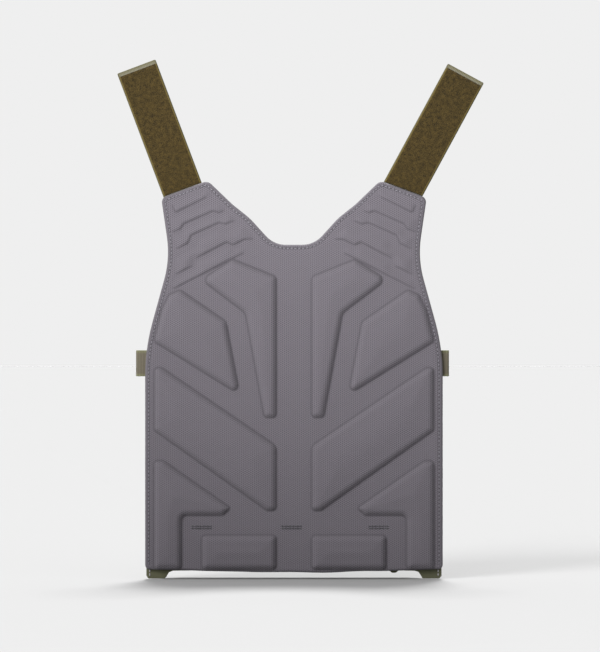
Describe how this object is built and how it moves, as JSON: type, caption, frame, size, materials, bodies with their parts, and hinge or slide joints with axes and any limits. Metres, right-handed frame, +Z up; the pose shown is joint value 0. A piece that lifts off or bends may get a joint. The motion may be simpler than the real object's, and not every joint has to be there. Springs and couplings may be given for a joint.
{
  "type": "back protector panel",
  "caption": "Back protector panel with a moulded mesh comfort face, rigid plate in a fabric pocket, closing flap, webbing ladder, side tabs and loop-faced shoulder straps.",
  "frame": {"origin": "on the plane where the pads touch the wearer's back, on the centre line, level with the lowest point", "axes": "+Z up towards the shoulders, +Y away from the wearer, +X to the right as seen from the body side"},
  "size_m": [0.358, 0.0349, 0.5066],
  "materials": {
    "face_mesh": "knitted spacer mesh",
    "foam": "closed-cell foam",
    "thread_grey": "sewing thread",
    "lining_cloth": "coated pack cloth",
    "carrier_cloth": "textured nylon pack cloth",
    "plate": "pressed hard plate",
    "strap_webbing": "woven webbing",
    "loop_tape": "brushed loop tape",
    "hook_tape": "moulded hook tape",
    "webbing": "ribbed webbing",
    "thread_olive": "sewing thread"
  },
  "bodies": {
    "panel": {"face_mesh": "face_mesh", "foam_board": "foam", "pad_upper_inner_left": "foam", "pad_upper_outer_left": "foam", "pad_middle_left": "foam", "pad_lower_left": "foam", "pad_bottom_left": "foam", "shoulder_rib_1_left": "foam", "shoulder_rib_2_left": "foam", "shoulder_rib_3_left": "foam", "shoulder_rib_4_left": "foam", "shoulder_rib_5_left": "foam", "pad_upper_inner_right": "foam", "pad_upper_outer_right": "foam", "pad_middle_right": "foam", "pad_lower_right": "foam", "pad_bottom_right": "foam", "shoulder_rib_1_right": "foam", "shoulder_rib_2_right": "foam", "shoulder_rib_3_right": "foam", "shoulder_rib_4_right": "foam", "shoulder_rib_5_right": "foam", "edge_stitching": "thread_grey", "panel_bartacks": "thread_grey", "pocket_lining": "lining_cloth", "outer_shell": "carrier_cloth", "plate_foam": "foam", "protector_plate": "plate", "strap_anchor_left": "strap_webbing", "side_tab_anchor_left": "webbing", "strap_anchor_right": "strap_webbing", "side_tab_anchor_right": "webbing", "strap_box_stitching": "thread_olive", "webbing_bartacks": "thread_olive", "shell_loop_tape": "loop_tape", "patch_loop_field": "loop_tape", "webbing_row_1": "webbing", "webbing_row_2": "webbing", "webbing_row_3": "webbing", "webbing_row_4": "webbing"},
    "strap_left": {"strap_webbing_left": "strap_webbing", "strap_loop_tape_left": "loop_tape"},
    "strap_right": {"strap_webbing_right": "strap_webbing", "strap_loop_tape_right": "loop_tape"},
    "tab_left": {"side_tab_left": "webbing"},
    "tab_right": {"side_tab_right": "webbing"},
    "flap": {"bottom_flap": "carrier_cloth", "flap_hook_tape": "hook_tape", "flap_pull_tab": "webbing"}
  },
  "joints": [
    {"name": "strap_left_fold", "type": "hinge", "parent": "panel", "child": "strap_left", "pos_m": [-0.11001, 0.015, 0.38274], "axis": [0.9379, 0, 0.3469], "range_deg": [-90, 95]},
    {"name": "strap_right_fold", "type": "hinge", "parent": "panel", "child": "strap_right", "pos_m": [0.10831, 0.015, 0.38332], "axis": [0.9379, 0, -0.3469], "range_deg": [-90, 95]},
    {"name": "side_tab_left_swing", "type": "hinge", "parent": "panel", "child": "tab_left", "pos_m": [-0.1456, 0.0156, 0.21], "axis": [0, 0, 1], "range_deg": [-45, 45]},
    {"name": "side_tab_right_swing", "type": "hinge", "parent": "panel", "child": "tab_right", "pos_m": [0.1456, 0.0156, 0.21], "axis": [0, 0, 1], "range_deg": [-45, 45]},
    {"name": "bottom_flap_open", "type": "hinge", "parent": "panel", "child": "flap", "pos_m": [0, 0.0143, 0.0088], "axis": [-1, 0, 0], "range_deg": [0, 105]}
  ]
}
